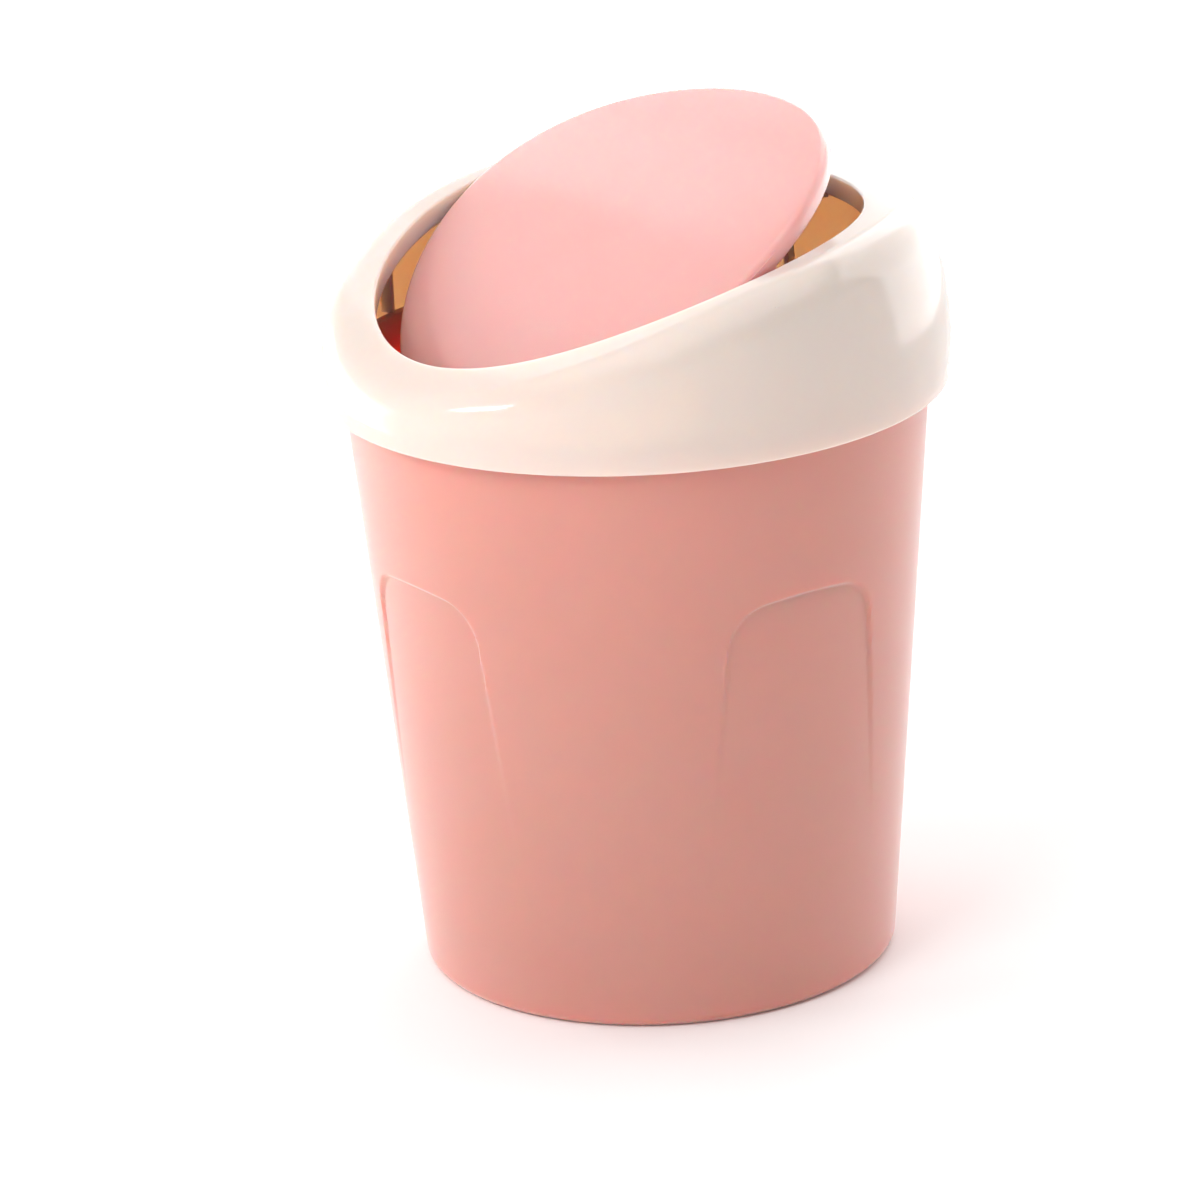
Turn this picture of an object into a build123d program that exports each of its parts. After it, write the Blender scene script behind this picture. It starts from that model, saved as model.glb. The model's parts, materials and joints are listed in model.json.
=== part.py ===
from build123d import *

import os
from math import cos, radians, sin, sqrt, tan

# Countertop waste bin with a swing flap: a tapered pail, an arched lid collar
# that drops over the pail's rim, and a flap that swings in the collar's mouth.
# Millimetres. Z is up, the origin is the centre of the base, the low front of
# the lid faces -Y and the flap's pivot runs along X.

# ---- Pail ------------------------------------------------------------------
BASE_RADIUS = 52.5          # outer radius at the foot
PAIL_HEIGHT = 138.4
PAIL_TAPER = 4.94           # degrees from vertical
PAIL_WALL = 1.6
PAIL_CORNER = 2.4           # outer corner between wall and foot
FOOT_RING_WIDTH = 3.2
FOOT_RECESS = 1.6           # the floor is lifted clear of the worktop
RECESS_CHAMFER = 0.8
RIM_FLANGE_HEIGHT = 3.0
RIM_RADIUS = 65.2           # outside of the rim flange
RIM_CHAMFER = 0.4

PANEL_COUNT = 4
PANEL_TOP = 98.8            # height of the panels' upper edge
PANEL_DEPTH = 1.0           # how far the panel is pressed in at its top
PANEL_FADE = 30.0           # height at which the panel meets the wall again
PANEL_HALF_WIDTH = 21.4     # at the upper corners
PANEL_SPLAY = 8.0           # degrees that the sides spread towards the foot
PANEL_CORNER = 12.5
PANEL_DRAFT = 38.0          # slope of the panel's edge
PANEL_PLANE_GAP = 1.0       # the outline's plane stands this far off the wall

# ---- Lid collar ------------------------------------------------------------
COLLAR_BOTTOM = 130.9
COLLAR_BOTTOM_RADIUS = 68.0
COLLAR_BELLY_RADIUS = 68.7
COLLAR_BELLY_HEIGHT = 141.0
COLLAR_TOP_RADIUS = 58.7    # the wall leans in above the belly, carried up past the crown
COLLAR_TOP_HEIGHT = 178.0
COLLAR_WALL = 1.8
ROOT_INSET = 1.4            # inner details are rooted this deep in the wall
CROWN_HEIGHT = 170.0        # highest line of the arched top
CROWN_Y = 30.8              # the arch is highest behind the middle
ARCH_RADIUS = 181.0
SHOULDER_RADIUS = 10.0
MOUTH_RADIUS = 53.2
MOUTH_Y = -3.3              # the mouth sits a little towards the front
MOUTH_EDGE_CHAMFER = 0.5
LIP_DEPTH = 5.0             # skirt that hangs round the mouth
LIP_WALL = 1.5
SEAT_RIB_COUNT = 8
SEAT_RIB_THICKNESS = 1.2
SEAT_RIB_INNER_RADIUS = 64.0
STOP_WIDTH = 8.0            # shelf at the back of the lip that the closed flap rests on
STOP_DEPTH = 2.0
STOP_THICKNESS = 1.6

# ---- Pivot -----------------------------------------------------------------
PIVOT_Y = -3.6
PIVOT_HEIGHT = 156.2
PIN_RADIUS = 2.0
PIN_CLEARANCE = 0.08
PIN_END = 56.5              # distance of each pin's tip from the middle
PIN_CHAMFER = 0.5
EAR_RADIUS = 4.6            # rounded foot of each flap ear and collar bracket
EAR_WALL = 1.8
EAR_FLARE = 24.0            # degrees that each ear widens towards its root
THRUST_RADIUS = 3.1         # step round each pin that centres the flap
SIDE_PLAY = 0.3
GUSSET_THICKNESS = 1.2
GUSSET_REACH = 9.0

# ---- Swing flap ------------------------------------------------------------
FLAP_RADIUS = 52.2
FLAP_WALL = 1.6
FLAP_RIM_DEPTH = 3.8        # turned-down rim
FLAP_CROWN = 1.6            # extra rise in the middle of the flap
FLAP_EDGE_RADIUS = 1.8
FLAP_TILT = 22.0            # stored pose: front edge tipped into the bin

SLOPE = tan(radians(PAIL_TAPER))
ARCH_CENTRE_Z = CROWN_HEIGHT - ARCH_RADIUS
TALL = 400.0                # longer than any piece is high
WIDE = 180.0                # wider than any piece


def wall_radius(height):
    """Outer radius of the pail's plain wall at a height."""
    return BASE_RADIUS + SLOPE * height


def arch_height(y):
    """Height of the arched top over a line across the bin."""
    return ARCH_CENTRE_Z + sqrt(ARCH_RADIUS**2 - (y - CROWN_Y) ** 2)


def upright(radius, y=0.0):
    """Tall round bar, used to cut or keep what lies inside a radius."""
    return Pos(0, y, 0) * Cylinder(radius, TALL)


# ---- Pail ------------------------------------------------------------------
def tapered_body(inset, floor):
    """Solid frustum that follows the pail's wall, inset from it."""
    offset = inset / cos(radians(PAIL_TAPER))
    top = PAIL_HEIGHT
    outline = Polyline(
        (0, floor),
        (wall_radius(floor) - offset, floor),
        (wall_radius(top) - offset, top),
        (0, top),
        close=True,
    )
    return revolve(Plane.XZ * make_face(outline), Axis.Z)


def panel_relief(inset):
    """What one panel presses out of the wall: a drafted arch with a steeper floor."""
    plane_distance = wall_radius(PANEL_TOP) - inset + PANEL_PLANE_GAP
    spread = (PANEL_TOP - PANEL_FADE) * tan(radians(PANEL_SPLAY))
    outline = Polyline(
        (-PANEL_HALF_WIDTH, PANEL_TOP),
        (PANEL_HALF_WIDTH, PANEL_TOP),
        (PANEL_HALF_WIDTH + spread, PANEL_FADE),
        (-PANEL_HALF_WIDTH - spread, PANEL_FADE),
        close=True,
    )
    face = make_face(outline)
    face = fillet(face.vertices().group_by(Axis.Y)[-1], PANEL_CORNER)
    front = Plane(origin=(0, -plane_distance, 0), x_dir=(1, 0, 0), z_dir=(0, -1, 0))
    block = extrude(front * face, amount=-PANEL_HALF_WIDTH, taper=PANEL_DRAFT)
    floor_top = wall_radius(PANEL_TOP) - PANEL_DEPTH - inset
    floor_foot = wall_radius(PANEL_FADE) - inset
    core = Polyline(
        (0, PANEL_FADE),
        (floor_foot, PANEL_FADE),
        (floor_top, PANEL_TOP),
        (0, PANEL_TOP),
        close=True,
    )
    return block - revolve(Plane.XZ * make_face(core), Axis.Z)


def pail_form(inset, floor):
    """Outside of the pail, or its cavity when inset by the wall."""
    form = tapered_body(inset, floor)
    relief = panel_relief(inset)
    for index in range(PANEL_COUNT):
        form -= relief.rotate(Axis.Z, index * 360 / PANEL_COUNT)
    return form


def make_pail():
    """Open pail: pressed panels, lifted floor on a foot ring, flanged rim."""
    outside = pail_form(0, 0)
    outside = fillet(outside.edges().group_by(Axis.Z)[0], PAIL_CORNER)
    floor = FOOT_RECESS + PAIL_WALL
    pail = outside - pail_form(PAIL_WALL, floor)
    recess_radius = BASE_RADIUS - PAIL_CORNER - FOOT_RING_WIDTH
    recess = Cylinder(recess_radius, FOOT_RECESS, align=(Align.CENTER, Align.CENTER, Align.MIN))
    recess = chamfer(recess.edges().group_by(Axis.Z)[-1], RECESS_CHAMFER)
    pail -= recess
    flange_bottom = PAIL_HEIGHT - RIM_FLANGE_HEIGHT
    inner = wall_radius(PAIL_HEIGHT) - PAIL_WALL
    flange = Polyline(
        (wall_radius(flange_bottom) - PAIL_WALL / 2, flange_bottom),
        (RIM_RADIUS, flange_bottom),
        (RIM_RADIUS, PAIL_HEIGHT),
        (inner, PAIL_HEIGHT),
        close=True,
    )
    pail += revolve(Plane.XZ * make_face(flange), Axis.Z)
    rim_edges = pail.edges().group_by(Axis.Z)[-1]
    return chamfer(rim_edges, RIM_CHAMFER)


# ---- Lid collar ------------------------------------------------------------
def under_arch(drop):
    """Everything below the arched top, lowered by drop, as a bar across the bin."""
    bar = Cylinder(ARCH_RADIUS - drop, WIDE, rotation=(0, 90, 0))
    return Pos(0, CROWN_Y, ARCH_CENTRE_Z) * bar


def collar_form(inset):
    """Bellied wall closed by the arched top with a rounded shoulder."""
    wall = ThreePointArc(
        (COLLAR_BOTTOM_RADIUS - inset, COLLAR_BOTTOM),
        (COLLAR_BELLY_RADIUS - inset, COLLAR_BELLY_HEIGHT),
        (COLLAR_TOP_RADIUS - inset, COLLAR_TOP_HEIGHT),
    )
    rest = Polyline(wall @ 1, (0, COLLAR_TOP_HEIGHT), (0, COLLAR_BOTTOM), wall @ 0)
    body = revolve(Plane.XZ * make_face(wall + rest), Axis.Z)
    body &= under_arch(inset)
    shoulder = body.faces().sort_by(Axis.Z)[-1].edges()
    return fillet(shoulder, SHOULDER_RADIUS - inset)


def ear_outline(top):
    """Plate outline that narrows from its root to a round foot centred on the pivot."""
    flare = radians(EAR_FLARE)
    foot_reach = EAR_RADIUS * cos(flare)
    foot_height = PIVOT_HEIGHT - EAR_RADIUS * sin(flare)
    top_reach = foot_reach + (top - foot_height) * tan(flare)
    foot = ThreePointArc(
        (PIVOT_Y - foot_reach, foot_height),
        (PIVOT_Y, PIVOT_HEIGHT - EAR_RADIUS),
        (PIVOT_Y + foot_reach, foot_height),
    )
    sides = Polyline(foot @ 1, (PIVOT_Y + top_reach, top), (PIVOT_Y - top_reach, top), foot @ 0)
    return make_face(foot + sides)


def ear_plate(inner_x, thickness):
    """Ear on the +X side, from its inner face outwards."""
    outline = ear_outline(CROWN_HEIGHT)
    return Pos(inner_x, 0, 0) * extrude(Plane.YZ * outline, amount=thickness)


def gussets(root_x, tip_x):
    """Pair of webs that carry an ear from the sheet above it and get shallower towards the tip."""
    outline = Polyline(
        (root_x, PIVOT_HEIGHT + PIN_RADIUS),
        (root_x, CROWN_HEIGHT),
        (tip_x, CROWN_HEIGHT),
        (tip_x, PIVOT_HEIGHT + EAR_RADIUS + PIN_RADIUS),
        close=True,
    )
    web = extrude(Plane.XZ * make_face(outline), amount=GUSSET_THICKNESS / 2, both=True)
    spread = EAR_RADIUS - GUSSET_THICKNESS / 2
    return Pos(0, PIVOT_Y - spread, 0) * web + Pos(0, PIVOT_Y + spread, 0) * web


def both_sides(piece):
    """The piece on the +X side and its mirror on the -X side."""
    return piece + mirror(piece, Plane.YZ)


def make_collar():
    """Arched lid collar with mouth lip, seat ribs, pivot brackets and flap stop."""
    root = collar_form(ROOT_INSET)
    lip_outside = MOUTH_RADIUS + LIP_WALL
    collar = collar_form(0) - collar_form(COLLAR_WALL)
    collar += (upright(lip_outside, MOUTH_Y) & root) - under_arch(LIP_DEPTH)
    collar -= upright(MOUTH_RADIUS, MOUTH_Y)
    arched_face = collar.faces().filter_by(GeomType.CYLINDER).sort_by(SortBy.AREA)[-1]
    collar = chamfer(arched_face.inner_wires()[0].edges(), MOUTH_EDGE_CHAMFER)

    bracket = ear_plate(MOUTH_RADIUS, LIP_WALL) & root
    bracket += gussets(lip_outside - LIP_WALL / 2, COLLAR_BELLY_RADIUS) & root
    collar += both_sides(bracket)

    rib_depth = COLLAR_BELLY_RADIUS - SEAT_RIB_INNER_RADIUS
    rib = Box(rib_depth, SEAT_RIB_THICKNESS, TALL, align=(Align.MIN, Align.CENTER, Align.MIN))
    rib = (Pos(SEAT_RIB_INNER_RADIUS, 0, PAIL_HEIGHT) * rib) & upright(COLLAR_BELLY_RADIUS)
    for index in range(SEAT_RIB_COUNT):
        collar += rib.rotate(Axis.Z, (index + 0.5) * 360 / SEAT_RIB_COUNT) & root

    stop_top = FLAP_RIM_DEPTH + SIDE_PLAY
    stop = upright(MOUTH_RADIUS + LIP_WALL / 2, MOUTH_Y)
    stop -= upright(MOUTH_RADIUS - STOP_DEPTH, MOUTH_Y)
    stop &= under_arch(stop_top) - under_arch(stop_top + STOP_THICKNESS)
    stop &= Pos(0, WIDE / 2, TALL / 2) * Box(STOP_WIDTH, WIDE, TALL)
    collar += stop

    collar -= Pos(0, PIVOT_Y, PIVOT_HEIGHT) * Cylinder(
        PIN_RADIUS + PIN_CLEARANCE, 2 * (lip_outside + LIP_WALL), rotation=(0, 90, 0)
    )
    return collar


# ---- Swing flap ------------------------------------------------------------
def flap_sheet(inset):
    """Round plan under a sheet that is arched front to back and crowned both ways."""
    edge_height = arch_height(MOUTH_Y)
    lean_y = (CROWN_Y - MOUTH_Y) / ARCH_RADIUS
    lean_z = (ARCH_CENTRE_Z - edge_height) / ARCH_RADIUS
    radius = 1 / (1 / ARCH_RADIUS + 2 * FLAP_CROWN / FLAP_RADIUS**2)
    depth = radius - FLAP_CROWN
    centre = Pos(0, MOUTH_Y + lean_y * depth, edge_height + lean_z * depth)
    crown = ThreePointArc(
        (-FLAP_RADIUS, radius - FLAP_CROWN - inset),
        (0, radius - inset),
        (FLAP_RADIUS, radius - FLAP_CROWN - inset),
    )
    rest = Polyline(crown @ 1, (FLAP_RADIUS, 0), (-FLAP_RADIUS, 0), crown @ 0)
    barrel = revolve(make_face(crown + rest), Axis.X)
    return (centre * barrel) & upright(FLAP_RADIUS - inset, MOUTH_Y)


def make_flap():
    """Crowned flap with a turned-down rim, two ears and their pins, drawn closed."""
    form = flap_sheet(0)
    top_face = form.faces().sort_by(Axis.Z)[-1]
    form = fillet(top_face.edges(), FLAP_EDGE_RADIUS)
    root = flap_sheet(FLAP_WALL / 2)
    flap = form - flap_sheet(FLAP_WALL) - under_arch(FLAP_RIM_DEPTH)

    ear_inner = FLAP_RADIUS - EAR_WALL
    side = ear_plate(ear_inner, EAR_WALL) & upright(FLAP_RADIUS, MOUTH_Y) & root
    side += gussets(ear_inner + EAR_WALL / 2, ear_inner - GUSSET_REACH) & root
    flap += both_sides(side)

    thrust_end = MOUTH_RADIUS - SIDE_PLAY
    thrust = Cylinder(THRUST_RADIUS, 2 * thrust_end, rotation=(0, 90, 0))
    pin = Cylinder(PIN_RADIUS, 2 * PIN_END, rotation=(0, 90, 0))
    pin = chamfer(pin.edges(), PIN_CHAMFER)
    inside = Box(2 * ear_inner, WIDE, TALL)
    flap += Pos(0, PIVOT_Y, PIVOT_HEIGHT) * (thrust + pin - inside)
    return flap


def main():
    """Write one STEP file for each moulding."""
    os.makedirs("parts", exist_ok=True)
    pivot = Axis((0, PIVOT_Y, PIVOT_HEIGHT), (1, 0, 0))
    pieces = {
        "pail": make_pail(),
        "lid_collar": make_collar(),
        "swing_flap": make_flap().rotate(pivot, FLAP_TILT),
    }
    for name, piece in pieces.items():
        piece.label = name
        export_step(piece, f"parts/{name}.step")
        print(name, len(piece.solids()), round(piece.volume), piece.is_valid)


main()
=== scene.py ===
import json
import logging
import math
from dataclasses import dataclass, field
from enum import Enum
from typing import Callable, Sequence

import bpy
from mathutils import Matrix, Vector

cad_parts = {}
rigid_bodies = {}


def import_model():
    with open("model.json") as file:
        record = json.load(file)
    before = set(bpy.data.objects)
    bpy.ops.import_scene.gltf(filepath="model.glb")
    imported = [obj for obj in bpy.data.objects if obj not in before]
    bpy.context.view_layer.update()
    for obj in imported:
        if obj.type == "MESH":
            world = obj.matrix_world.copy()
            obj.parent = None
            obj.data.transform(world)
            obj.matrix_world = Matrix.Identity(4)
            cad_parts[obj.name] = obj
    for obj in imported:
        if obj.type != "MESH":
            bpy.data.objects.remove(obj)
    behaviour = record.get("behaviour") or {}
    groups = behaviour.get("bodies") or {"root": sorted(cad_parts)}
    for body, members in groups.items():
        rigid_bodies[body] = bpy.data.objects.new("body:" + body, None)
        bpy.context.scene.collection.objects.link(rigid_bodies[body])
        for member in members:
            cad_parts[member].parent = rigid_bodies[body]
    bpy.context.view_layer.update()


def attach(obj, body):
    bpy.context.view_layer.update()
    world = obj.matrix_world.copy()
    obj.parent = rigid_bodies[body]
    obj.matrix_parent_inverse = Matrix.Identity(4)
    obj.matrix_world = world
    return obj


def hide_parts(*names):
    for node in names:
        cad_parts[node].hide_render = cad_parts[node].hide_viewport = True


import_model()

# A small worktop waste bin in three mouldings: a tapered pail, a lid collar that lifts off it,
# and a round flap that swings on two pins in the collar. The bin's middle is the Z axis, its
# foot stands at Z = 0 and its front faces -Y. The mouldings' sizes are millimetres and degrees,
# the angle that a section stands at is in radians, and the studio is laid out in metres.
MM = 0.001  # Blender's unit is the metre
FULL_TURN = 2 * math.pi
WELD = 0.002  # points closer than this become one
CREASE = 32.0  # an edge that turns by more than this stays crisp
MOUTH_Y = -3.3  # where the mouth's axis stands, front to back; the closed flap shares it
ROD_SIDES = 64
BEVEL_FACETS = 3
BEVEL_FROM = 60.0  # only edges that turn by more than this are bevelled
LOG = logging.getLogger("waste_bin")

Section = list[Vector]  # points in order, in millimetres


class Side(Enum):
    """Which end of the flap's pivot a fitting belongs to."""

    RIGHT = 1
    LEFT = -1


class Mating(Enum):
    """How one solid is worked into another."""

    FUSE = "UNION"
    CUT = "DIFFERENCE"
    TRIM = "INTERSECT"


# ---- Small geometry helpers -------------------------------------------------
def between(start: float, end: float, share: float) -> float:
    """Value that lies a share of the way from start to end."""
    return start + (end - start) * share


def polar(reach: float, angle: float, height: float, middle_y: float = 0.0) -> Vector:
    """Point at a distance and angle round an upright axis.

    Args:
        reach: Distance from the axis.
        angle: Angle round the axis in radians, from +X towards +Y.
        height: Height over the worktop.
        middle_y: Where the axis stands along Y.

    Returns:
        The point, in millimetres.
    """
    return Vector((reach * math.cos(angle), middle_y + reach * math.sin(angle), height))


def bead(
    reach: float,
    angle: float,
    height: float,
    size: float,
    turn: tuple[float, float],
    middle_y: float = 0.0,
    steps: int = 3,
) -> Section:
    """Points of a small round drawn in the upright plane at an angle.

    Args:
        reach: Distance of the round's centre from the upright axis.
        angle: Angle of the plane round that axis.
        height: Height of the round's centre.
        size: Radius of the round.
        turn: First and last direction in degrees; 0 points outwards and 90 up.
        middle_y: Where the upright axis stands along Y.
        steps: Number of facets.

    Returns:
        The points, first and last included.
    """
    points = []
    for step in range(steps + 1):
        lean = math.radians(between(*turn, step / steps))
        offset = size * math.cos(lean)
        points.append(polar(reach + offset, angle, height + size * math.sin(lean), middle_y))
    return points


@dataclass(frozen=True)
class Arch:
    """The shallow arch, running front to back, that tops the collar and the flap."""

    radius: float = 181.0
    crown: float = 170.0  # greatest height
    crown_y: float = 30.8  # where that is, front to back

    def height(self, y: float, drop: float = 0.0) -> float:
        """Height of the arch over a line across the bin.

        Args:
            y: Where the line lies, front to back.
            drop: How far under the arch, measured square to it.

        Returns:
            The height over the worktop.
        """
        reach = self.radius - drop
        return self.crown - self.radius + math.sqrt(reach**2 - (y - self.crown_y) ** 2)

    def outward(self, point: Vector) -> Vector:
        """Direction square to the arch at a point."""
        from_centre = (0.0, point.y - self.crown_y, point.z - self.crown + self.radius)
        return Vector(from_centre).normalized()


ARCH = Arch()


@dataclass(frozen=True)
class Pivot:
    """The line that the flap swings on, along X, and the running parts round it."""

    y: float = -3.6
    height: float = 156.2
    pin_radius: float = 2.0
    pin_clearance: float = 0.08  # running gap round a pin in its bore
    pin_end: float = 56.5  # how far out a pin ends, along X
    pin_chamfer: float = 0.5  # bevel round a pin's end
    thrust_radius: float = 3.1  # radius of the step that keeps the flap centred
    thrust_end: float = 52.9  # how far out that step ends
    ear_radius: float = 4.6  # radius of an ear's round foot
    ear_flare: float = 24.0  # how far each edge of an ear leans out towards its root
    gusset: float = 1.2  # thickness of the webs that stiffen an ear
    foot_facets: int = 16
    root_trials: int = 6  # tries that settle where an ear's edge meets its root

    def ear_outline(self, x: float, top: Callable[[float], float]) -> Section:
        """Outline of an ear that narrows from its root to a round foot.

        Args:
            x: Where the ear stands along the pivot, negative on the left.
            top: Height that the ear is rooted at, for a place front to back.

        Returns:
            The outline's corners.
        """
        flare = math.radians(self.ear_flare)
        points = []
        for step in range(self.foot_facets + 1):
            lean = between(math.pi + flare, FULL_TURN - flare, step / self.foot_facets)
            y = self.y + self.ear_radius * math.cos(lean)
            points.append(Vector((x, y, self.height + self.ear_radius * math.sin(lean))))
        for foot, way in ((points[-1], 1), (points[0], -1)):
            y = foot.y
            for _ in range(self.root_trials):
                y = foot.y + way * (top(y) - foot.z) * math.tan(flare)
            points.append(Vector((x, y, top(y))))
        return points


PIVOT = Pivot()


# ---- Modelling helpers ------------------------------------------------------
def deselect() -> None:
    """Leaves every object unselected, so that the next operator acts on its own piece."""
    for item in bpy.context.scene.objects:
        item.select_set(False)


def take(item: bpy.types.Object) -> None:
    """Makes one object the only selected one, and the active one."""
    deselect()
    item.select_set(True)
    bpy.context.view_layer.objects.active = item


def close_up(item: bpy.types.Object) -> None:
    """Welds seams and poles and turns every face outwards."""
    take(item)
    bpy.ops.object.mode_set(mode="EDIT")
    bpy.ops.mesh.select_all(action="SELECT")
    bpy.ops.mesh.remove_doubles(threshold=WELD * MM)
    bpy.ops.mesh.normals_make_consistent(inside=False)
    bpy.ops.object.mode_set(mode="OBJECT")


def loft(name: str, section: Callable[[float], Section], columns: int) -> bpy.types.Object:
    """Skin drawn as a tube, ring by ring, and stretched over sections round the bin.

    Args:
        name: The piece's name.
        section: Gives the section's points at an angle round the bin.
        columns: Number of sections.

    Returns:
        The closed mesh, its place in its vertices.
    """
    sections = [section(FULL_TURN * column / columns) for column in range(columns)]
    deselect()
    bpy.ops.mesh.primitive_circle_add(vertices=columns, radius=1.0, fill_type="NOTHING")
    skin = bpy.context.object
    skin.name = skin.data.name = name
    bpy.ops.object.mode_set(mode="EDIT")
    bpy.ops.mesh.select_all(action="SELECT")
    for _ in sections[0][1:]:
        bpy.ops.mesh.extrude_region_move(TRANSFORM_OT_translate={"value": (0, 0, 1)})
    bpy.ops.object.mode_set(mode="OBJECT")
    # Each ring stands 1 above the last, so a vertex's height counts along its section.
    for vertex in skin.data.vertices:
        turn = math.atan2(vertex.co.y, vertex.co.x) / FULL_TURN
        vertex.co = sections[round(turn * columns) % columns][round(vertex.co.z)] * MM
    close_up(skin)
    return skin


def plate(name: str, outline: Section, thickness: Vector) -> bpy.types.Object:
    """Flat web cut to an outline and drawn out to its thickness.

    Args:
        name: The piece's name.
        outline: Corners in order, in millimetres.
        thickness: Direction and length of the drawing out, in millimetres.

    Returns:
        The closed web.
    """
    deselect()
    bpy.ops.mesh.primitive_circle_add(vertices=len(outline), radius=1.0, fill_type="NGON")
    web = bpy.context.object
    web.name = web.data.name = name
    for vertex, corner in zip(web.data.vertices, outline):
        vertex.co = corner * MM
    bpy.ops.object.mode_set(mode="EDIT")
    bpy.ops.mesh.select_all(action="SELECT")
    bpy.ops.mesh.extrude_region_move(TRANSFORM_OT_translate={"value": thickness * MM})
    bpy.ops.object.mode_set(mode="OBJECT")
    close_up(web)
    return web


def rod(
    name: str, radius: float, start: float, end: float, chamfer: float = 0.0
) -> bpy.types.Object:
    """Round bar along the flap's pivot.

    Args:
        name: The piece's name.
        radius: The bar's radius.
        start: Where it begins along X.
        end: Where it ends along X.
        chamfer: Size of the bevel round its ends, or 0 for none.

    Returns:
        The bar, with its place in its mesh.
    """
    deselect()
    bpy.ops.mesh.primitive_cylinder_add(
        vertices=ROD_SIDES,
        radius=radius * MM,
        depth=abs(end - start) * MM,
        location=Vector(((start + end) / 2, PIVOT.y, PIVOT.height)) * MM,
        rotation=(0, math.pi / 2, 0),
    )
    bar = bpy.context.object
    bar.name = bar.data.name = name
    bpy.ops.object.transform_apply(location=True, rotation=True, scale=True)
    if chamfer:
        soften = bar.modifiers.new("end bevel", "BEVEL")
        soften.width = chamfer * MM
        soften.segments = BEVEL_FACETS
        soften.limit_method = "ANGLE"
        soften.angle_limit = math.radians(BEVEL_FROM)
        bpy.ops.object.modifier_apply(modifier=soften.name)
    return bar


def gussets(
    name: str, side: Side, corners_at: Callable[[float], list[tuple[float, float]]]
) -> list[bpy.types.Object]:
    """Pair of webs that run inwards or outwards from the two edges of an ear.

    Args:
        name: The webs' name.
        side: Which end of the pivot.
        corners_at: Gives a web's corners, as X and Z, for its place front to back.

    Returns:
        The front web and the back one.
    """
    webs = []
    spread = PIVOT.ear_radius - PIVOT.gusset / 2
    for offset in (-spread, spread):
        y = PIVOT.y + offset - PIVOT.gusset / 2
        outline = [Vector((side.value * x, y, z)) for x, z in corners_at(y)]
        webs.append(plate(name, outline, Vector((0, PIVOT.gusset, 0))))
    return webs


def work_in(item: bpy.types.Object, tool: bpy.types.Object, mating: Mating) -> None:
    """Fuses, cuts or trims an object with another closed one and clears that one away.

    Args:
        item: The object that stays.
        tool: The closed shape that is worked into it.
        mating: What is done with that shape.
    """
    step = item.modifiers.new("work in", "BOOLEAN")
    step.operation = mating.value
    step.solver = "MANIFOLD"
    step.object = tool
    take(item)
    bpy.ops.object.modifier_apply(modifier=step.name)
    bpy.data.objects.remove(tool)


def moulded_in_one(
    name: str, skin: bpy.types.Object, parts: Sequence[bpy.types.Object]
) -> bpy.types.Object:
    """Fuses a moulding into one closed piece with smooth faces and crisp edges.

    Args:
        name: The piece's name.
        skin: The main skin.
        parts: What is rooted in it.

    Returns:
        The fused piece.
    """
    for part in parts:
        work_in(skin, part, Mating.FUSE)
    skin.name = skin.data.name = name
    take(skin)
    bpy.ops.object.shade_smooth_by_angle(angle=math.radians(CREASE))
    return skin


# ---- Finishes ---------------------------------------------------------------
# The sRGB standard's curve: a straight toe, then a power of the lifted value.
SRGB_TOE, SRGB_SLOPE, SRGB_LIFT, SRGB_POWER = 0.04045, 12.92, 0.055, 2.4

# The Mix node's two colour inputs and its colour output share their names with other sockets.
MIX_FIRST, MIX_SECOND, MIX_RESULT = 6, 7, 2


def linear(code: str) -> tuple[float, float, float, float]:
    """Linear colour of an sRGB hex code.

    Args:
        code: Six hex digits.

    Returns:
        Red, green, blue and an alpha of 1.
    """
    values = []
    for start in (0, 2, 4):
        part = int(code[start : start + 2], 16) / 255
        curved = ((part + SRGB_LIFT) / (1 + SRGB_LIFT)) ** SRGB_POWER
        values.append(part / SRGB_SLOPE if part <= SRGB_TOE else curved)
    return (*values, 1.0)


def add_node(
    tree: bpy.types.NodeTree,
    kind: str,
    settings: dict[str | int, object] | None = None,
    links: dict[str, bpy.types.NodeSocket] | None = None,
) -> bpy.types.Node:
    """Adds a node with its settings and links.

    Args:
        tree: The material's or world's node tree.
        kind: The node's type.
        settings: Values by input name or number, or by property name.
        links: Sockets to link to the node's inputs, by input name.

    Returns:
        The node.
    """
    node = tree.nodes.new(kind)
    for key, value in (settings or {}).items():
        if isinstance(key, int) or key in node.inputs:
            node.inputs[key].default_value = value
        else:
            setattr(node, key, value)
    for key, socket in (links or {}).items():
        tree.links.new(socket, node.inputs[key])
    return node


def per_mm(size: float) -> float:
    """Noise scale that gives a pattern of a real size in millimetres."""
    return 1 / (size * MM)


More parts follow.
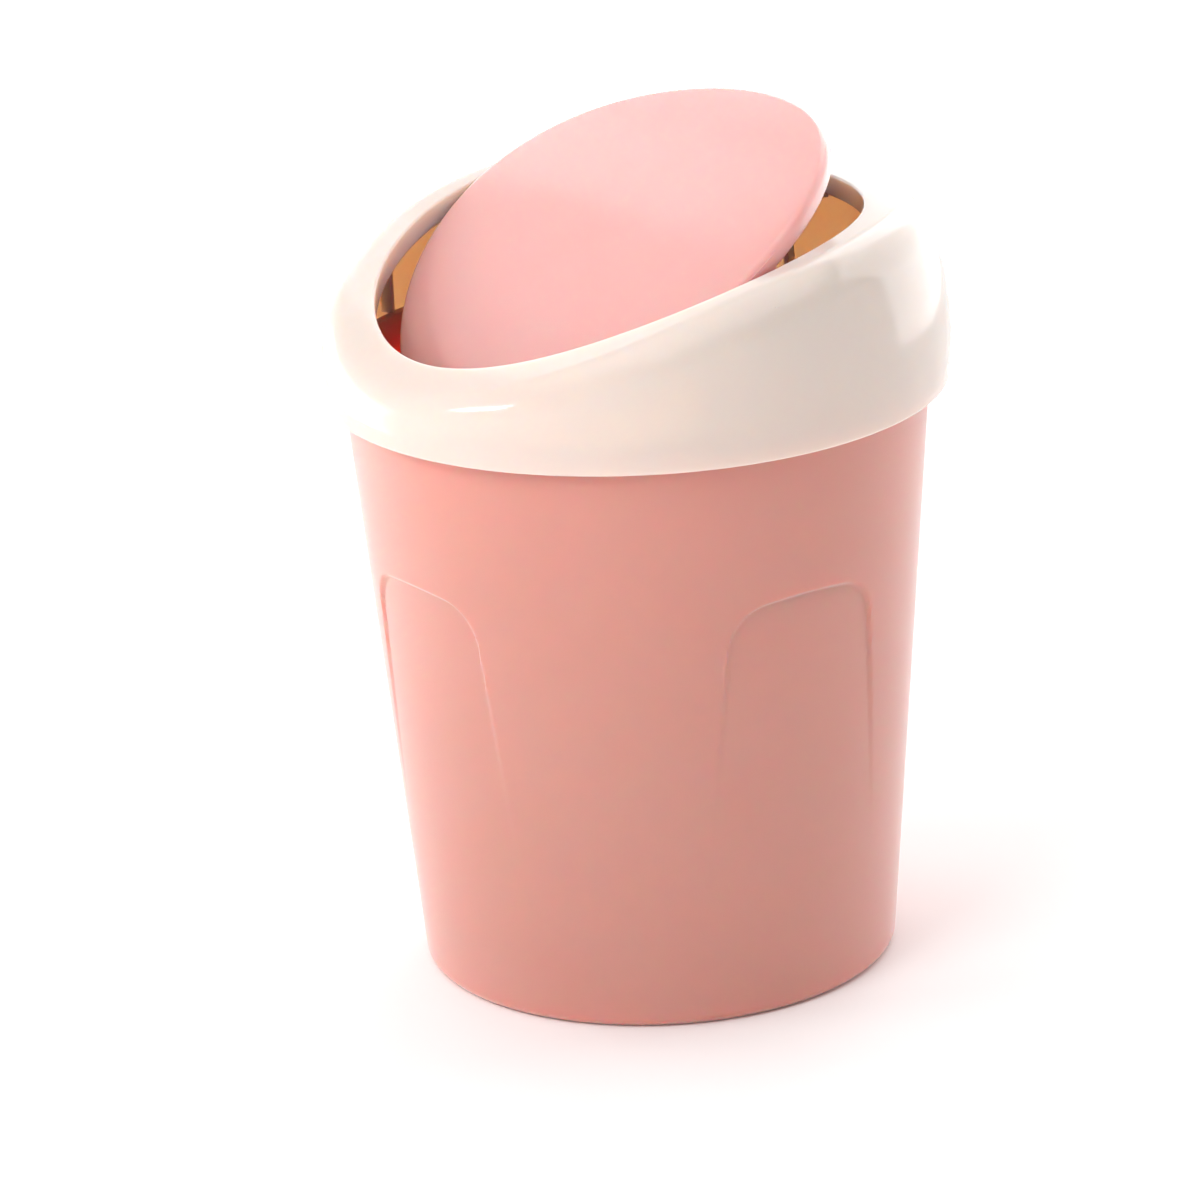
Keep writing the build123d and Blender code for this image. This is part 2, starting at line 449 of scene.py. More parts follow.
@dataclass(frozen=True)
class MouldedPlastic:
    """Injection-moulded polypropylene in one colour.

    Polypropylene is waxy and lets a little light in, so edges and thin lips glow. The tool's
    surface sets the gloss: a polished tool gives clear reflections that waver over long sink
    marks, and a spark-eroded one gives a dense grain with a soft sheen. Real grain is about
    0.1 mm wide and too fine to show, so it is drawn several times as coarse.
    """

    name: str
    colour: str
    shade: str  # what the colour drifts to and from
    roughness: float
    roughness_spread: float  # how far the grain takes the roughness up and down
    grain: float  # width of the tool's grain, drawn coarse enough to show
    grain_depth: float
    sink: float  # length of the sink marks
    sink_depth: float
    glow: float  # share of the light that travels inside the plastic
    glow_colour: str  # its linear parts say how far red, green and blue travel in the plastic
    glow_depth: float  # how far a part of 1 travels
    edge_sheen: float = 0.0  # strength of the pale bloom where the surface turns away
    edge_width: float = 0.3  # how far that bloom reaches in
    flow: float = 38.0  # width of the drifts in colour
    ior: float = 1.49  # polypropylene's

    def material(self) -> bpy.types.Material:
        """Builds the finish.

        Returns:
            The material, with its patterns on Object coordinates.
        """
        finish = bpy.data.materials.new(self.name)
        finish.use_nodes = True
        tree = finish.node_tree
        tree.nodes.clear()
        place = add_node(tree, "ShaderNodeTexCoord").outputs["Object"]
        flow = add_node(
            tree,
            "ShaderNodeTexNoise",
            {"Scale": per_mm(self.flow), "Detail": 3.0, "Roughness": 0.45, "Distortion": 0.6},
            {"Vector": place},
        )
        tint = add_node(
            tree,
            "ShaderNodeMix",
            {
                "data_type": "RGBA",
                MIX_FIRST: linear(self.colour),
                MIX_SECOND: linear(self.shade),
            },
            {"Factor": flow.outputs["Fac"]},
        )
        grain = add_node(
            tree,
            "ShaderNodeTexNoise",
            {"Scale": per_mm(self.grain), "Detail": 4.0, "Roughness": 0.6},
            {"Vector": place},
        )
        gloss = add_node(
            tree,
            "ShaderNodeMapRange",
            {
                "To Min": self.roughness - self.roughness_spread,
                "To Max": self.roughness + self.roughness_spread,
            },
            {"Value": grain.outputs["Fac"]},
        )
        sink = add_node(
            tree,
            "ShaderNodeTexNoise",
            {"Scale": per_mm(self.sink), "Detail": 1.0, "Roughness": 0.4},
            {"Vector": place},
        )
        waver = add_node(
            tree,
            "ShaderNodeBump",
            {"Strength": 1.0, "Distance": self.sink_depth * MM},
            {"Height": sink.outputs["Fac"]},
        )
        relief = add_node(
            tree,
            "ShaderNodeBump",
            {"Strength": 1.0, "Distance": self.grain_depth * MM},
            {"Height": grain.outputs["Fac"], "Normal": waver.outputs["Normal"]},
        )
        shader = add_node(
            tree,
            "ShaderNodeBsdfPrincipled",
            {
                "IOR": self.ior,
                "Subsurface Weight": self.glow,
                "Subsurface Scale": self.glow_depth * MM,
                "Subsurface Radius": linear(self.glow_colour)[:3],
                "Sheen Weight": self.edge_sheen,
                "Sheen Roughness": self.edge_width,
            },
            {
                "Base Color": tint.outputs[MIX_RESULT],
                "Roughness": gloss.outputs["Result"],
                "Normal": relief.outputs["Normal"],
            },
        )
        add_node(tree, "ShaderNodeOutputMaterial", links={"Surface": shader.outputs["BSDF"]})
        return finish


# Spark-eroded tool, medium grain: the wall looks matt, with a broad soft highlight and a pale
# bloom where it turns away. Red light travels furthest in it, so the inside glows red.
PAIL_PLASTIC = MouldedPlastic(
    name="moulded polypropylene, salmon pink satin",
    colour="DF958A",
    shade="DB9084",
    roughness=0.42,
    roughness_spread=0.05,
    grain=0.55,
    grain_depth=0.012,
    sink=26.0,
    sink_depth=0.05,
    glow=1.0,
    glow_colour="FF5A3A",
    glow_depth=8.0,
    edge_sheen=0.6,
)

# Polished tool: the collar mirrors lamps clearly, and its thin wall lets warm light through.
COLLAR_PLASTIC = MouldedPlastic(
    name="moulded polypropylene, cream gloss",
    colour="ECCFC5",
    shade="E8CAC0",
    roughness=0.13,
    roughness_spread=0.02,
    grain=0.9,
    grain_depth=0.002,
    sink=30.0,
    sink_depth=0.06,
    glow=0.9,
    glow_colour="FFD2B0",
    glow_depth=8.0,
)

# Finely spark-eroded tool, buffed: lighter than the pail, with a soft but clear highlight.
FLAP_PLASTIC = MouldedPlastic(
    name="moulded polypropylene, light pink satin",
    colour="E7ADAA",
    shade="E3A8A3",
    roughness=0.16,
    roughness_spread=0.01,
    grain=0.5,
    grain_depth=0.0012,
    sink=32.0,
    sink_depth=0.05,
    glow=1.0,
    glow_colour="FF9070",
    glow_depth=4.0,
)


def dress(piece: bpy.types.Object, finish: MouldedPlastic, body: str, node: str) -> None:
    """Gives a piece its finish and its place in the assembly.

    Args:
        piece: The finished moulding.
        finish: What it is moulded in.
        body: The body it moves with.
        node: The solid it stands for.
    """
    piece.data.materials.clear()
    piece.data.materials.append(finish.material())
    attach(piece, body)
    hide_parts(node)


# ---- Pail -------------------------------------------------------------------
@dataclass(frozen=True)
class PressedPanel:
    """Shallow panel with round upper corners that fades out towards the foot."""

    top: float = 98.8
    fade: float = 30.0  # height at which the panel has run out
    fade_power: float = 1.6  # 1 runs out evenly, and more runs out sooner
    depth: float = 1.0
    half_width: float = 21.4  # at the top
    splay: float = 8.0  # how far each side leans outwards on its way down
    corner: float = 12.5  # radius of the upper corners
    draft: float = 38.0  # how far the step round the panel leans
    plane_gap: float = 1.0  # how far outside the wall the outline's plane stands
    softness: float = 0.13  # how round the step's two edges are

    def inside(self, x: float, z: float) -> float:
        """Distance inside the panel's outline, negative outside it.

        Args:
            x: Place across the panel, from its middle.
            z: Height over the worktop.

        Returns:
            The distance in millimetres.
        """
        lean = math.radians(self.splay)
        skew = math.sin(lean)
        from_top = self.top - z
        from_side = (self.half_width + from_top * math.tan(lean) - abs(x)) * math.cos(lean)
        across, along = self.corner - from_top, self.corner - from_side
        if across > skew * along and along > skew * across:
            square = across**2 + along**2 - 2 * across * along * skew
            return self.corner - math.sqrt(square / (1 - skew**2))
        return min(from_top, from_side)

    def eased(self, value: float) -> float:
        """The value, or 0 where it is negative, with the corner between them rounded."""
        return max(value, 0.0) + self.softness * math.log1p(math.exp(-abs(value) / self.softness))

    def press(self, inside: float, height: float) -> float:
        """How far the wall is pressed in, with rounded edges to the drafted step.

        Args:
            inside: Distance inside the outline, at the wall's surface.
            height: Height over the worktop.

        Returns:
            The depth in millimetres.
        """
        share = max(0.0, (height - self.fade) / (self.top - self.fade))
        depth = self.depth * share**self.fade_power
        ramp = inside / math.tan(math.radians(self.draft))
        return self.eased(ramp) - self.eased(ramp - depth)


@dataclass(frozen=True)
class Pail:
    """Tapered pail with four pressed panels, a foot ring and a flanged rim."""

    base_radius: float = 52.5  # radius that the tapered wall would have on the worktop
    height: float = 138.4
    taper: float = 4.94  # how far the wall leans outwards
    wall: float = 1.6
    corner: float = 2.4  # radius between the wall and the foot
    foot_width: float = 3.2  # width of the ring that the pail stands on
    foot_round: float = 0.3  # radius of the ring's inner edge
    recess: float = 1.6  # how far the underside is raised inside the ring
    recess_round: float = 0.8  # radius between the ring and the underside
    floor_round: float = 1.2  # radius between the wall and the floor, inside
    corner_end: float = -8.0  # direction in which both those radii give way to the leaning wall
    flange: float = 3.0  # height of the rim's outer band
    rim_radius: float = 65.2  # radius of that band
    rim_round: float = 0.45  # radius of the rim's edges
    rim_land: float = 2.0  # how far under the top the inside's rows begin
    panels: int = 4
    panel: PressedPanel = field(default_factory=PressedPanel)
    columns: int = 560
    # Where each band of rows up the outside ends, and the spacing of its rows, which are
    # closest where the panels' edges run.
    row_bands: tuple[tuple[float, float], ...] = (
        (30.0, 5.0),
        (60.0, 2.5),
        (82.0, 1.2),
        (95.5, 0.6),
        (99.4, 0.26),
        (height - flange, 7.2),
    )
    corner_facets: int = 7
    inside_rows: int = 34

    def plain_radius(self, height: float, inset: float) -> float:
        """Radius of the wall with no panel, inset from its outside."""
        lean = math.radians(self.taper)
        return self.base_radius + math.tan(lean) * height - inset / math.cos(lean)

    def wall_point(self, angle: float, height: float, inset: float) -> Vector:
        """Point on the wall, with its panels.

        Args:
            angle: Angle round the pail.
            height: Height over the worktop.
            inset: 0 on the outside, the wall's thickness on the inside.

        Returns:
            The point in millimetres.
        """
        # The outline is drawn on an upright plane outside the wall and drafted inwards from it.
        radius = self.plain_radius(height, inset)
        share = FULL_TURN / self.panels
        offset = (angle + share / 2) % share - share / 2
        plane = self.plain_radius(self.panel.top, inset) + self.panel.plane_gap
        behind = plane - radius * math.cos(offset)
        inside = self.panel.inside(radius * math.sin(offset), height)
        inside -= behind * math.tan(math.radians(self.panel.draft))
        return polar(radius - self.panel.press(inside, height), angle, height)

    def heights(self) -> list[float]:
        """Heights of the rows up the outside, from the corner to under the rim's band."""
        rows = [self.corner]
        for end, step in self.row_bands:
            start = rows[-1]
            count = max(1, round((end - start) / step))
            rows += [between(start, end, (index + 1) / count) for index in range(count)]
        return rows

    def section(self, angle: float) -> Section:
        """Section from the middle of the underside, up the outside and down to the floor."""
        edge = self.base_radius - self.corner - self.foot_width
        size = self.recess_round
        points = [polar(0.0, angle, self.recess), polar(edge / 2, angle, self.recess)]
        points += bead(edge - size, angle, self.recess - size, size, (90, 0))
        size = self.foot_round
        points += bead(edge + size, angle, size, size, (180, 270))
        size = self.corner
        reach = self.plain_radius(size, 0) - size
        turn = (-90, self.corner_end)
        points += bead(reach, angle, size, size, turn, steps=self.corner_facets)
        points += [self.wall_point(angle, height, 0) for height in self.heights()]
        under = self.height - self.flange
        size = self.rim_round
        points += bead(self.rim_radius - size, angle, under + size, size, (-90, 0))
        points += bead(self.rim_radius - size, angle, self.height - size, size, (0, 90))
        inner = self.plain_radius(self.height, self.wall)
        points += bead(inner + size, angle, self.height - size, size, (90, 180))
        floor = self.recess + self.wall
        size = self.floor_round
        for row in range(self.inside_rows + 1):
            height = between(self.height - self.rim_land, floor + size, row / self.inside_rows)
            points.append(self.wall_point(angle, height, self.wall))
        reach = self.plain_radius(floor + size, self.wall) - size
        points += bead(reach, angle, floor + size, size, (self.corner_end, -90))
        points += [polar(reach / 2, angle, floor), polar(0.0, angle, floor)]
        return points

    def build(self) -> bpy.types.Object:
        """Models the pail and dresses it.

        Returns:
            The finished moulding.
        """
        skin = loft("pail_skin", self.section, self.columns)
        moulding = moulded_in_one("pail_moulding", skin, [])
        dress(moulding, PAIL_PLASTIC, "pail", "pail")
        return moulding


# ---- Lid collar -------------------------------------------------------------
@dataclass(frozen=True)
class LidCollar:
    """Arched collar with a rounded shoulder, a mouth with a hanging lip, ribs and brackets."""

    bottom: float = 130.9
    bottom_radius: float = 68.0
    belly: float = 141.0  # height at which the bowed wall is widest
    belly_radius: float = 68.7
    top: float = 178.0  # height of the third point that the wall's bow runs through
    top_radius: float = 58.7
    wall: float = 1.8
    root: float = 1.4  # how far under the outside the ribs and brackets are rooted
    shoulder: float = 10.0  # radius between the wall and the arch
    mouth_radius: float = 53.2
    mouth_y: float = MOUTH_Y
    mouth_round: float = 0.5
    lip_depth: float = 5.0  # how far the lip hangs under the arch
    lip_wall: float = 1.5
    edge_round: float = 0.45  # radius of the lip's and the wall's lower edges
    rib_count: int = 8
    rib_thickness: float = 1.2
    rib_reach: float = 64.0  # how near the middle a rib comes
    rib_foot: float = Pail.height  # a rib rests on the pail's rim
    ledge_width: float = 8.0
    ledge_depth: float = 2.0  # how far the ledge stands into the mouth
    ledge_drop: float = 4.1  # how far the ledge lies under the arch
    ledge_thickness: float = 1.6
    bore_overrun: float = 1.0  # how far the boring tool runs past a bracket's faces
    columns: int = 384
    wall_rows: int = 9
    shoulder_rows: int = 14
    shoulder_trials: int = 40  # tries that settle the shoulder's centre
    top_rows: int = 7
    mouth_rows: int = 7
    ledge_facets: int = 6

    def wall_circle(self) -> tuple[float, float, float]:
        """Centre and radius of the wall's bellied profile, through its three named points."""
        (ax, az), (bx, bz), (cx, cz) = (
            (self.bottom_radius, self.bottom),
            (self.belly_radius, self.belly),
            (self.top_radius, self.top),
        )
        twice = 2 * (ax * (bz - cz) + bx * (cz - az) + cx * (az - bz))
        a, b, c = ax**2 + az**2, bx**2 + bz**2, cx**2 + cz**2
        reach = (a * (bz - cz) + b * (cz - az) + c * (az - bz)) / twice
        height = (a * (cx - bx) + b * (ax - cx) + c * (bx - ax)) / twice
        return reach, height, math.hypot(ax - reach, az - height)

    def wall_reach(self, height: float, inset: float) -> float:
        """Distance of the wall from the middle at a height, inset from its outside."""
        centre, level, radius = self.wall_circle()
        return centre - inset + math.sqrt(radius**2 - (height - level) ** 2)

    def shoulder_arc(self, angle: float, inset: float) -> Section:
        """Round between the wall and the arch, its centre found by trial from both.

        Args:
            angle: Angle round the collar.
            inset: 0 on the outside, the wall's thickness on the inside.

        Returns:
            Points from the wall up to the arch.
        """
        size = self.shoulder - inset
        centre, level, radius = self.wall_circle()
        height = ARCH.height(self.belly_radius * math.sin(angle), self.shoulder)
        for _ in range(self.shoulder_trials):
            reach = centre - inset + math.sqrt((radius - size) ** 2 - (height - level) ** 2)
            height = ARCH.height(reach * math.sin(angle), self.shoulder)
        middle = polar(reach, angle, height)
        outward = polar(reach - centre + inset, angle, height - level).normalized()
        upward = ARCH.outward(middle)
        rows = self.shoulder_rows
        return [middle + outward.slerp(upward, row / rows) * size for row in range(rows + 1)]

    def skin(self, angle: float, inset: float, brink: float) -> Section:
        """Wall, shoulder and arched top, from the bottom edge to the mouth.

        Args:
            angle: Angle round the collar.
            inset: 0 on the outside, the wall's thickness on the inside.
            brink: Distance from the mouth's axis at which the top ends.

        Returns:
            The points in order.
        """
        arc = self.shoulder_arc(angle, inset)
        start = self.bottom + self.edge_round
        points = []
        for row in range(self.wall_rows):
            height = between(start, arc[0].z, row / self.wall_rows)
            points.append(polar(self.wall_reach(height, inset), angle, height))
        points += arc
        end = polar(brink, angle, 0.0, self.mouth_y)
        for row in range(1, self.top_rows + 1):
            place = arc[-1].lerp(end, row / self.top_rows)
            place.z = ARCH.height(place.y, inset)
            points.append(place)
        return points

    def mouth_edge(self, angle: float) -> Section:
        """Rounded edge of the mouth, from the arch down into the mouth's wall."""
        middle = polar(self.mouth_radius + self.mouth_round, angle, 0.0, self.mouth_y)
        middle.z = ARCH.height(middle.y, self.mouth_round)
        upward = ARCH.outward(middle)
        inward = polar(-1.0, angle, 0.0)
        rows = self.mouth_rows
        return [
            middle + upward.slerp(inward, row / rows) * self.mouth_round for row in range(rows + 1)
        ]

    def section(self, angle: float) -> Section:
        """Closed section: up the outside, round the mouth's edge and lip, down the inside."""
        size = self.edge_round
        lip_outside = self.mouth_radius + self.lip_wall
        outside = self.skin(angle, 0.0, self.mouth_radius + self.mouth_round)
        points = outside[:-1] + self.mouth_edge(angle)
        lip = polar(self.mouth_radius, angle, 0.0, self.mouth_y)
        level = ARCH.height(lip.y, self.lip_depth) + size
        points += bead(self.mouth_radius + size, angle, level, size, (180, 270), self.mouth_y)
        points += bead(lip_outside - size, angle, level, size, (270, 360), self.mouth_y)
        points += reversed(self.skin(angle, self.wall, lip_outside))
        level = self.bottom + size
        foot = self.wall_reach(level, 0.0)
        points += bead(foot - self.wall + size, angle, level, size, (180, 270))
        points += bead(foot - size, angle, level, size, (270, 360))
        return points

    def ribs(self) -> list[bpy.types.Object]:
        """Upright ribs on the wall's inside that rest on the pail's rim."""
        made = []
        for index in range(self.rib_count):
            angle = (index + 0.5) * FULL_TURN / self.rib_count
            across = polar(self.rib_thickness, angle + math.pi / 2, 0.0)
            outline = [polar(self.rib_reach, angle, self.rib_foot)]
            outline.append(polar(self.wall_reach(self.rib_foot, self.root), angle, self.rib_foot))
            arc = self.shoulder_arc(angle, self.root)
            outline += [point for point in arc if math.hypot(point.x, point.y) > self.rib_reach]
            outline.append(polar(self.rib_reach, angle, outline[-1].z))
            made.append(plate(f"rib_{index}", [point - across / 2 for point in outline], across))
        return made

    def bracket(self, side: Side) -> list[bpy.types.Object]:
        """Pivot bracket under the lip, bored for the pin, with two gussets to the wall.

        Args:
            side: Which end of the pivot.

        Returns:
            The bracket and its gussets.
        """
        near = side.value * self.mouth_radius
        thickness = side.value * self.lip_wall
        outline = PIVOT.ear_outline(near, lambda y: ARCH.height(y, self.root))
        ear = plate("bracket", outline, Vector((thickness, 0, 0)))
        overrun = side.value * self.bore_overrun
        running_radius = PIVOT.pin_radius + PIVOT.pin_clearance
        bore = rod("pin_bore", running_radius, near - overrun, near + thickness + overrun)
        work_in(ear, bore, Mating.CUT)
        return [ear, *gussets("bracket_gusset", side, self.gusset_corners)]

    def gusset_corners(self, y: float) -> list[tuple[float, float]]:
        """Corners, as X and Z, of the web between a bracket and the wall at a place along Y."""
        root_x = self.mouth_radius + self.lip_wall / 2
        tip_z = PIVOT.height + PIVOT.ear_radius + PIVOT.pin_radius
        tip_x = self.wall_reach(tip_z, self.root)
        arc = self.shoulder_arc(math.atan2(y, tip_x), self.root)
        corners = [(root_x, PIVOT.height + PIVOT.pin_radius), (tip_x, tip_z)]
        corners += [(point.x, point.z) for point in arc if point.z > tip_z]
        corners.append((root_x, ARCH.height(y, self.root)))
        return corners

    def ledge(self) -> bpy.types.Object:
        """Small shelf at the back of the lip that the closed flap rests on."""
        inner = self.mouth_radius - self.ledge_depth
        root = self.mouth_radius + self.lip_wall / 2
        outline = []
        for radius, way in ((inner, (-1, 1)), (root, (1, -1))):
            half = math.asin(self.ledge_width / 2 / radius)
            for step in range(self.ledge_facets + 1):
                angle = math.pi / 2 + between(*way, step / self.ledge_facets) * half
                place = polar(radius, angle, 0.0, self.mouth_y)
                place.z = ARCH.height(place.y, self.ledge_drop)
                outline.append(place)
        return plate("flap_ledge", outline, Vector((0, 0, -self.ledge_thickness)))

    def build(self) -> bpy.types.Object:
        """Models the collar and dresses it.

        Returns:
            The finished moulding.
        """
        skin = loft("collar_skin", self.section, self.columns)
        parts = [*self.ribs(), self.ledge()]
        for side in Side:
            parts += self.bracket(side)
        moulding = moulded_in_one("collar_moulding", skin, parts)
        dress(moulding, COLLAR_PLASTIC, "collar", "lid_collar")
        return moulding


# ---- Swing flap -------------------------------------------------------------
@dataclass(frozen=True)
class SwingFlap:
    """Crowned round flap with a turned-down rim, two ears and its pivot pins."""

    radius: float = 52.2
    middle_y: float = MOUTH_Y
    wall: float = 1.6
    rim_depth: float = 3.8  # how far the rim hangs under the collar's arch
    crown: float = 1.6  # how far the sheet's middle rises over that arch
    edge_round: float = 1.8  # radius between the sheet and the rim
    rim_round: float = 0.4  # radius of the rim's lower edges
    ear_wall: float = 1.8
    gusset_reach: float = 9.0  # how far an ear's gussets run inwards
    pin_root: float = 0.3  # how far out from an ear's inner face the pin begins
    trim_gap: float = 0.03  # how far inside the rim the ears are trimmed
    tilt: float = 22.0  # how far it is tipped at rest, back edge up
    columns: int = 320
    top_rows: int = 22
    edge_rows: int = 9
    under_rows: int = 14

    def sheet(self, x: float, y: float, inset: float = 0.0) -> tuple[Vector, Vector]:
        """Place and outward direction on the crowned sheet, drawn closed.

        Args:
            x: Place across the bin.
            y: Place front to back.
            inset: 0 on top of the sheet, its thickness underneath.

        Returns:
            The point and the direction square to the sheet.
        """
        # Front to back, a circle tighter than the arch tops the arch by the crown at the middle
        # and meets it at the rim.
        edge_height = ARCH.height(self.middle_y)
        bow = 1 / (1 / ARCH.radius + 2 * self.crown / self.radius**2)
        depth = (bow - self.crown) / ARCH.radius
        centre_y = self.middle_y + (ARCH.crown_y - self.middle_y) * depth
        centre_z = edge_height + (ARCH.crown - ARCH.radius - edge_height) * depth
        # Across the bin, the sheet falls by the crown on its way to the rim.
        side_bow = (self.radius**2 + self.crown**2) / (2 * self.crown)
        fall = math.sqrt(side_bow**2 - x**2)
        reach = bow - side_bow + fall - inset
        rise = math.sqrt(reach**2 - (y - centre_y) ** 2)
        outward = Vector((x * reach / (fall * rise), (y - centre_y) / rise, 1.0)).normalized()
        return Vector((x, y, centre_z + rise)), outward

    def section(self, angle: float) -> Section:
        """Section from the middle of the top, round the rim, to the middle of the underside."""
        size = self.edge_round
        points = []
        for row in range(self.top_rows):
            place = polar((self.radius - size) * row / self.top_rows, angle, 0.0, self.middle_y)
            points.append(self.sheet(place.x, place.y)[0])
        place = polar(self.radius - size, angle, 0.0, self.middle_y)
        middle, upward = self.sheet(place.x, place.y, size)
        outward = polar(1.0, angle, 0.0)
        for row in range(self.edge_rows + 1):
            points.append(middle + upward.slerp(outward, row / self.edge_rows) * size)
        size = self.rim_round
        rim = polar(self.radius, angle, 0.0, self.middle_y)
        level = ARCH.height(rim.y, self.rim_depth) + size
        points += bead(self.radius - size, angle, level, size, (0, -90), self.middle_y)
        inner = self.radius - self.wall
        points += bead(inner + size, angle, level, size, (-90, -180), self.middle_y)
        for row in range(self.under_rows + 1):
            place = polar(inner * (1 - row / self.under_rows), angle, 0.0, self.middle_y)
            points.append(self.sheet(place.x, place.y, self.wall)[0])
        return points

    def plan_bar(self) -> bpy.types.Object:
        """Tall round bar a hair inside the flap's plan, which the ears are trimmed to."""
        deselect()
        bpy.ops.mesh.primitive_cylinder_add(
            vertices=self.columns,
            radius=(self.radius - self.trim_gap) * MM,
            depth=2 * ARCH.crown * MM,
            location=(0, self.middle_y * MM, ARCH.crown * MM),
        )
        bar = bpy.context.object
        bpy.ops.object.transform_apply(location=True, rotation=True, scale=True)
        return bar

    def ear(self, side: Side) -> list[bpy.types.Object]:
        """Ear, its gussets, and the stepped pin that is moulded with it.

        Args:
            side: Which end of the pivot.

        Returns:
            The parts, rooted in one another.
        """
        inner = self.radius - self.ear_wall
        outline = PIVOT.ear_outline(side.value * inner, lambda y: self.core_height(inner, y))
        ear = plate("flap_ear", outline, Vector((side.value * self.ear_wall, 0, 0)))
        work_in(ear, self.plan_bar(), Mating.TRIM)
        webs = gussets("ear_gusset", side, self.gusset_corners)
        start = side.value * (inner + self.pin_root)
        step = rod("thrust_step", PIVOT.thrust_radius, start, side.value * PIVOT.thrust_end)
        pin_end = side.value * PIVOT.pin_end
        pin = rod("pivot_pin", PIVOT.pin_radius, start, pin_end, PIVOT.pin_chamfer)
        return [ear, *webs, step, pin]

    def core_height(self, x: float, y: float) -> float:
        """Height of the middle of the sheet's thickness, which the ears are rooted at."""
        return self.sheet(x, y, self.wall / 2)[0].z

    def gusset_corners(self, y: float) -> list[tuple[float, float]]:
        """Corners, as X and Z, of the web between an ear and the sheet at a place along Y."""
        root_x = self.radius - self.ear_wall / 2
        tip_x = self.radius - self.ear_wall - self.gusset_reach
        return [
            (root_x, PIVOT.height + PIVOT.pin_radius),
            (tip_x, PIVOT.height + PIVOT.ear_radius + PIVOT.pin_radius),
            (tip_x, self.core_height(tip_x, y)),
            (root_x, self.core_height(root_x, y)),
        ]

    def build(self) -> bpy.types.Object:
        """Models the flap closed, tips it to its resting tilt and dresses it.

        Returns:
            The finished moulding.
        """
        skin = loft("flap_skin", self.section, self.columns)
        parts = [part for side in Side for part in self.ear(side)]
        moulding = moulded_in_one("flap_moulding", skin, parts)
        centre = Matrix.Translation(Vector((0, PIVOT.y, PIVOT.height)) * MM)
        turn = Matrix.Rotation(math.radians(self.tilt), 4, "X")
        moulding.data.transform(centre @ turn @ centre.inverted())
        dress(moulding, FLAP_PLASTIC, "flap", "swing_flap")
        return moulding


# ---- Studio -----------------------------------------------------------------
@dataclass(frozen=True)
class SoftBox:
    """A diffused studio lamp that faces the bin."""

    name: str
    place: tuple[float, float, float]
    size: tuple[float, float]
    power: float
    mirrored: bool = True  # whether glossy plastic shows its reflection

    def build(self, aim: Vector) -> None:
        """Hangs the lamp.

        Args:
            aim: The point it faces.
        """
        lamp = bpy.data.lights.new(self.name, "AREA")
        lamp.shape = "RECTANGLE"
        lamp.size, lamp.size_y = self.size
        lamp.energy = self.power
        item = bpy.data.objects.new(self.name, lamp)
        item.visible_glossy = self.mirrored
        bpy.context.scene.collection.objects.link(item)
        item.location = self.place
        item.rotation_euler = (aim - Vector(self.place)).to_track_quat("-Z", "Y").to_euler()


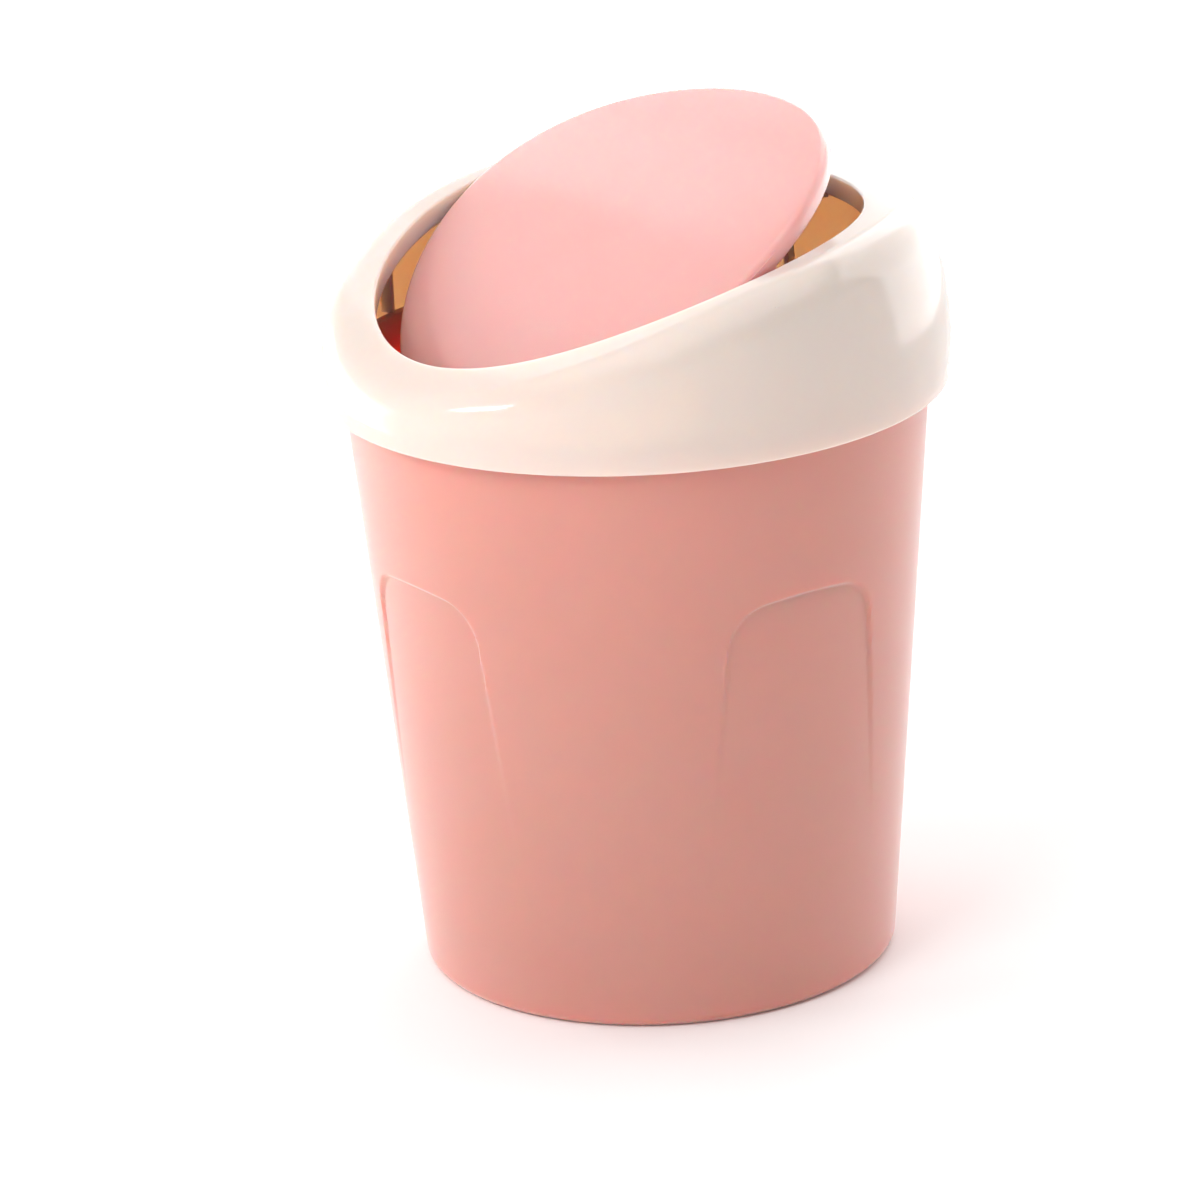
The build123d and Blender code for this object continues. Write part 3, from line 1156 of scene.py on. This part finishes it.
@dataclass(frozen=True)
class Studio:
    """White sweep, soft lamps and the camera."""

    floor_radius: float = 0.48
    floor_sides: int = 128
    floor_colour: str = "FBFBFB"
    floor_roughness: float = 0.9
    floor_ior: float = 1.3  # low, for a faint reflection
    sky_colour: str = "FFFFFF"
    sky_strength: float = 1.2  # at the horizon and below
    sky_reach: float = 0.6  # sine of the height at which the light has faded out
    sensor: float = 36.0  # the camera's, in its own millimetres
    lens: float = 176.98  # focal length, in millimetres too
    camera_place: tuple[float, float, float] = (1.01453, -0.69612, 0.50864)
    camera_aim: tuple[float, float, float] = (-0.00595, -0.00839, 0.08045)
    camera_roll: float = -2.71  # turn about the line of sight
    lamp_aim: tuple[float, float, float] = (0.0, 0.0, 0.09)  # half way up the bin
    # Each lamp's place, its width and height, and its power in watts.
    lamps: tuple[SoftBox, ...] = (
        SoftBox("back_window", (-1.074, 0.732, 0.7), (1.4, 1.4), 7.5),
        SoftBox("back_left_window", (-1.25, -0.237, 0.6), (1.2, 1.2), 2.1),
        SoftBox("back_right_window", (-0.237, 1.25, 0.6), (1.7, 1.7), 17.0),
        SoftBox("low_left_window", (-0.794, -0.366, 0.12), (0.6, 0.6), 4.3),
        SoftBox("overhead", (0.0, 0.0, 1.4), (1.6, 1.6), 10.4),
        SoftBox("near_top", (0.135, -0.334, 0.36), (0.2, 0.2), 0.85, mirrored=False),
        SoftBox("strip", (-0.366, -0.801, 0.687), (0.37, 0.08), 1.8),
    )

    def floor(self) -> None:
        """Lays a pale matt floor under the bin."""
        deselect()
        bpy.ops.mesh.primitive_circle_add(
            vertices=self.floor_sides, radius=self.floor_radius, fill_type="NGON"
        )
        paper = bpy.data.materials.new("pale matt studio paper")
        paper.use_nodes = True
        tree = paper.node_tree
        tree.nodes.clear()
        shader = add_node(
            tree,
            "ShaderNodeBsdfPrincipled",
            {
                "Base Color": linear(self.floor_colour),
                "Roughness": self.floor_roughness,
                "IOR": self.floor_ior,
            },
        )
        add_node(tree, "ShaderNodeOutputMaterial", links={"Surface": shader.outputs["BSDF"]})
        floor = bpy.context.object
        floor.name = floor.data.name = "studio_floor"
        floor.data.materials.append(paper)

    def sky(self) -> None:
        """Surrounds the bin with white light, even up to the horizon and fading above it."""
        world = bpy.data.worlds.new("white sweep")
        world.use_nodes = True
        tree = world.node_tree
        tree.nodes.clear()
        place = add_node(tree, "ShaderNodeTexCoord").outputs["Generated"]
        axes = add_node(tree, "ShaderNodeSeparateXYZ", links={"Vector": place})
        power = add_node(
            tree,
            "ShaderNodeMapRange",
            {
                "From Min": 0.0,
                "From Max": self.sky_reach,
                "To Min": self.sky_strength,
                "To Max": 0.0,
            },
            {"Value": axes.outputs["Z"]},
        )
        light = add_node(
            tree,
            "ShaderNodeBackground",
            {"Color": linear(self.sky_colour)},
            {"Strength": power.outputs["Result"]},
        )
        add_node(tree, "ShaderNodeOutputWorld", links={"Surface": light.outputs["Background"]})
        bpy.context.scene.world = world

    def camera(self) -> None:
        """Sets up the long lens that looks down on the bin's front corner."""
        lens = bpy.data.cameras.new("camera")
        lens.lens = self.lens
        lens.sensor_width = self.sensor
        lens.dof.use_dof = False
        item = bpy.data.objects.new("camera", lens)
        bpy.context.scene.collection.objects.link(item)
        place, aim = Vector(self.camera_place), Vector(self.camera_aim)
        look = (aim - place).to_track_quat("-Z", "Y").to_matrix().to_4x4()
        roll = Matrix.Rotation(math.radians(self.camera_roll), 4, "Z")
        item.matrix_world = Matrix.Translation(place) @ look @ roll
        bpy.context.scene.camera = item

    def build(self) -> None:
        """Sets the whole stage."""
        self.floor()
        self.sky()
        for lamp in self.lamps:
            lamp.build(Vector(self.lamp_aim))
        self.camera()
        bpy.context.scene.view_settings.view_transform = "Standard"
        LOG.info("studio: %d lamps", len(self.lamps))


def main() -> None:
    """Builds and reports each moulding in order, then sets the studio."""
    logging.basicConfig(level=logging.INFO, format="%(name)s: %(message)s")
    for part in (Pail(), LidCollar(), SwingFlap()):
        piece = part.build()
        LOG.info("%s: %d faces", piece.name, len(piece.data.polygons))
    Studio().build()


if __name__ == "__main__":
    main()
